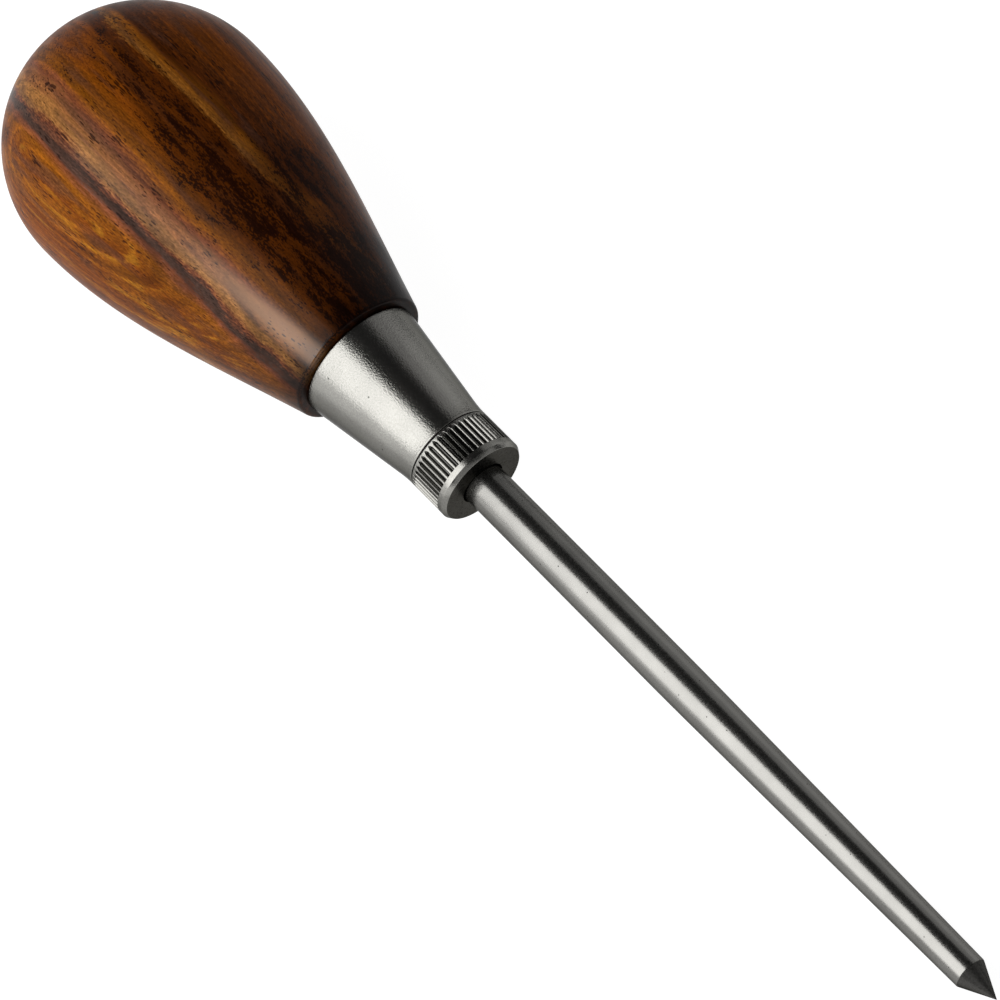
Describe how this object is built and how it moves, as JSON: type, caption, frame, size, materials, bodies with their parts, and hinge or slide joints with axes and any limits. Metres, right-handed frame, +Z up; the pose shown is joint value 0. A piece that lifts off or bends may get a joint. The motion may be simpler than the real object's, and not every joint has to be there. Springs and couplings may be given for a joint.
{
  "type": "caning awl",
  "caption": "Awl with a turned hardwood palm handle, a tapered steel ferrule and a knurled finger-turned chuck that holds a round tapered blade with a ground point.",
  "frame": {"origin": "centre of the bottom of the awl's box, on the bench where the awl lies on its handle's belly and its point", "axes": "+X along the bench from the handle to the point, +Y across, +Z up; the awl's own axis dips about 6.3 degrees towards the point"},
  "size_m": [0.1832, 0.039, 0.0392],
  "materials": {
    "oiled_hardwood": "oiled, semi-gloss",
    "satin_steel": "satin",
    "turned_steel": "turned",
    "hardened_steel": "hardened",
    "knurled_steel": "turned and knurled",
    "ground_steel": "ground and polished"
  },
  "bodies": {
    "haft": {"handle": "oiled_hardwood", "ferrule": "satin_steel", "chuck_stem": "turned_steel"},
    "collet": {"collet": "hardened_steel"},
    "nut": {"chuck_nut": "knurled_steel"},
    "blade": {"blade": "ground_steel"}
  },
  "joints": [
    {"name": "collet_slide", "type": "slide", "parent": "haft", "child": "collet", "axis": [0.994, 0, -0.1093], "range_m": [0, 0.002]},
    {"name": "nut_turn", "type": "hinge", "parent": "collet", "child": "nut", "pos_m": [-0.00391, 0, 0.01229], "axis": [0.994, 0, -0.1093], "range_deg": [0, 721]},
    {"name": "blade_slide", "type": "slide", "parent": "collet", "child": "blade", "axis": [0.994, 0, -0.1093], "range_m": [0, 0.012]}
  ],
  "couplings": [
    {"joint": "nut_turn", "follows": "collet_slide", "rad_per_m": 6283.2}
  ]
}
